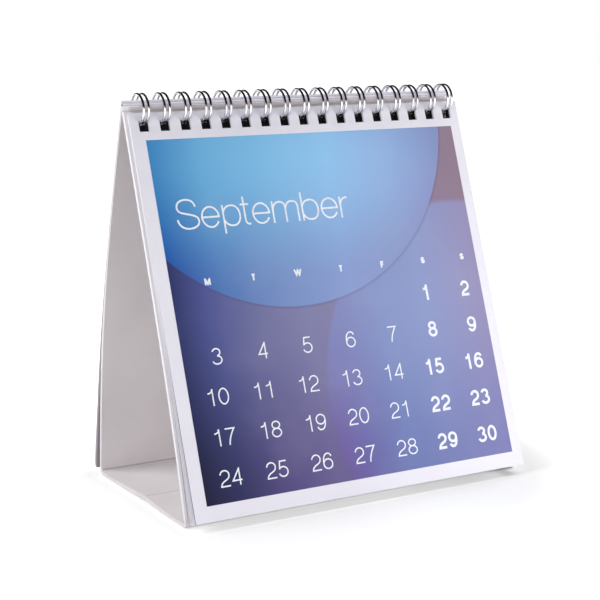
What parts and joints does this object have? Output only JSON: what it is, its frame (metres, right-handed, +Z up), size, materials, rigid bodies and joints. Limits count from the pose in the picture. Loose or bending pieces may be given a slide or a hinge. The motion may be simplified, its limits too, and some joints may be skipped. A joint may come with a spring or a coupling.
{
  "type": "tent desk calendar",
  "caption": "Standing desk calendar: a folded card tent with month leaves that turn over a row of double wire loops along its top.",
  "frame": {"origin": "middle of the base, on the desk", "axes": "+Z up, the month on show faces -Y, X runs along the wire"},
  "size_m": [0.148, 0.0899, 0.1519],
  "materials": {
    "card": "smooth uncoated card",
    "wire": "bright nickel-plated wire",
    "month_print": "satin printed paper with white margins",
    "paper": "satin white paper"
  },
  "bodies": {
    "tent": {"stand": "card", "wire_binding": "wire", "remaining_leaves": "paper", "turned_leaves": "paper"},
    "month": {"month_leaf": "month_print"},
    "last_turned": {"last_turned_leaf": "paper"}
  },
  "joints": [
    {"name": "month_turn", "type": "hinge", "parent": "tent", "child": "month", "pos_m": [0, 0.00819, 0.1459], "axis": [-1, 0, 0], "range_deg": [0, 190]},
    {"name": "last_turn_back", "type": "hinge", "parent": "tent", "child": "last_turned", "pos_m": [0, 0.00819, 0.1459], "axis": [1, 0, 0], "range_deg": [0, 190]}
  ]
}
